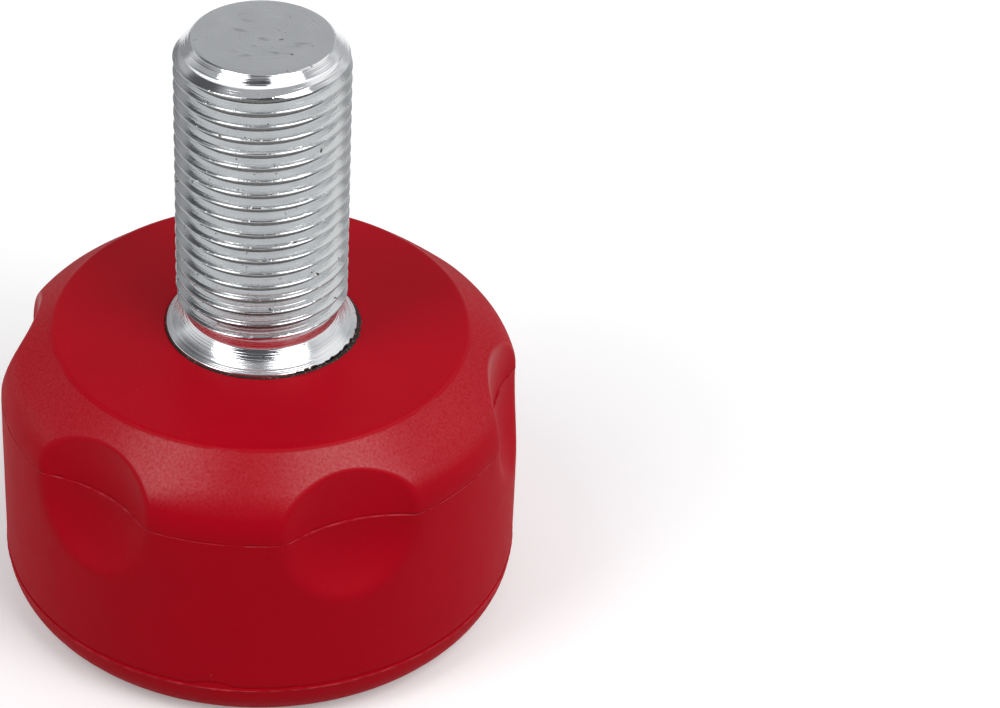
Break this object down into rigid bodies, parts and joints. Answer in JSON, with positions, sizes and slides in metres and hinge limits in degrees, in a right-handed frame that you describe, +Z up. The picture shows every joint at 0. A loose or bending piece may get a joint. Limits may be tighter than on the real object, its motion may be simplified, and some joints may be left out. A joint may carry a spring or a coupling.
{
  "type": "roller skate toe stop",
  "caption": "Screw-in roller skate toe stop: a threaded steel stem with a flared collar, moulded into a round scalloped rubber stopper with a flat braking face.",
  "frame": {"origin": "centre of the flat braking face", "axes": "+Z up the stem towards its tip, +X through the middle of one scallop"},
  "size_m": [0.0494, 0.0494, 0.0593],
  "materials": {
    "rubber": "satin moulded cherry red",
    "zinc_steel": "bright zinc plate over turned steel",
    "plain_steel": "plain stamped steel, bonded inside the rubber",
    "bond": "matt, ragged"
  },
  "bodies": {
    "root": {"rubber_body": "rubber", "stem": "zinc_steel", "anchor_plate": "plain_steel", "bond_bead": "bond"}
  },
  "joints": []
}
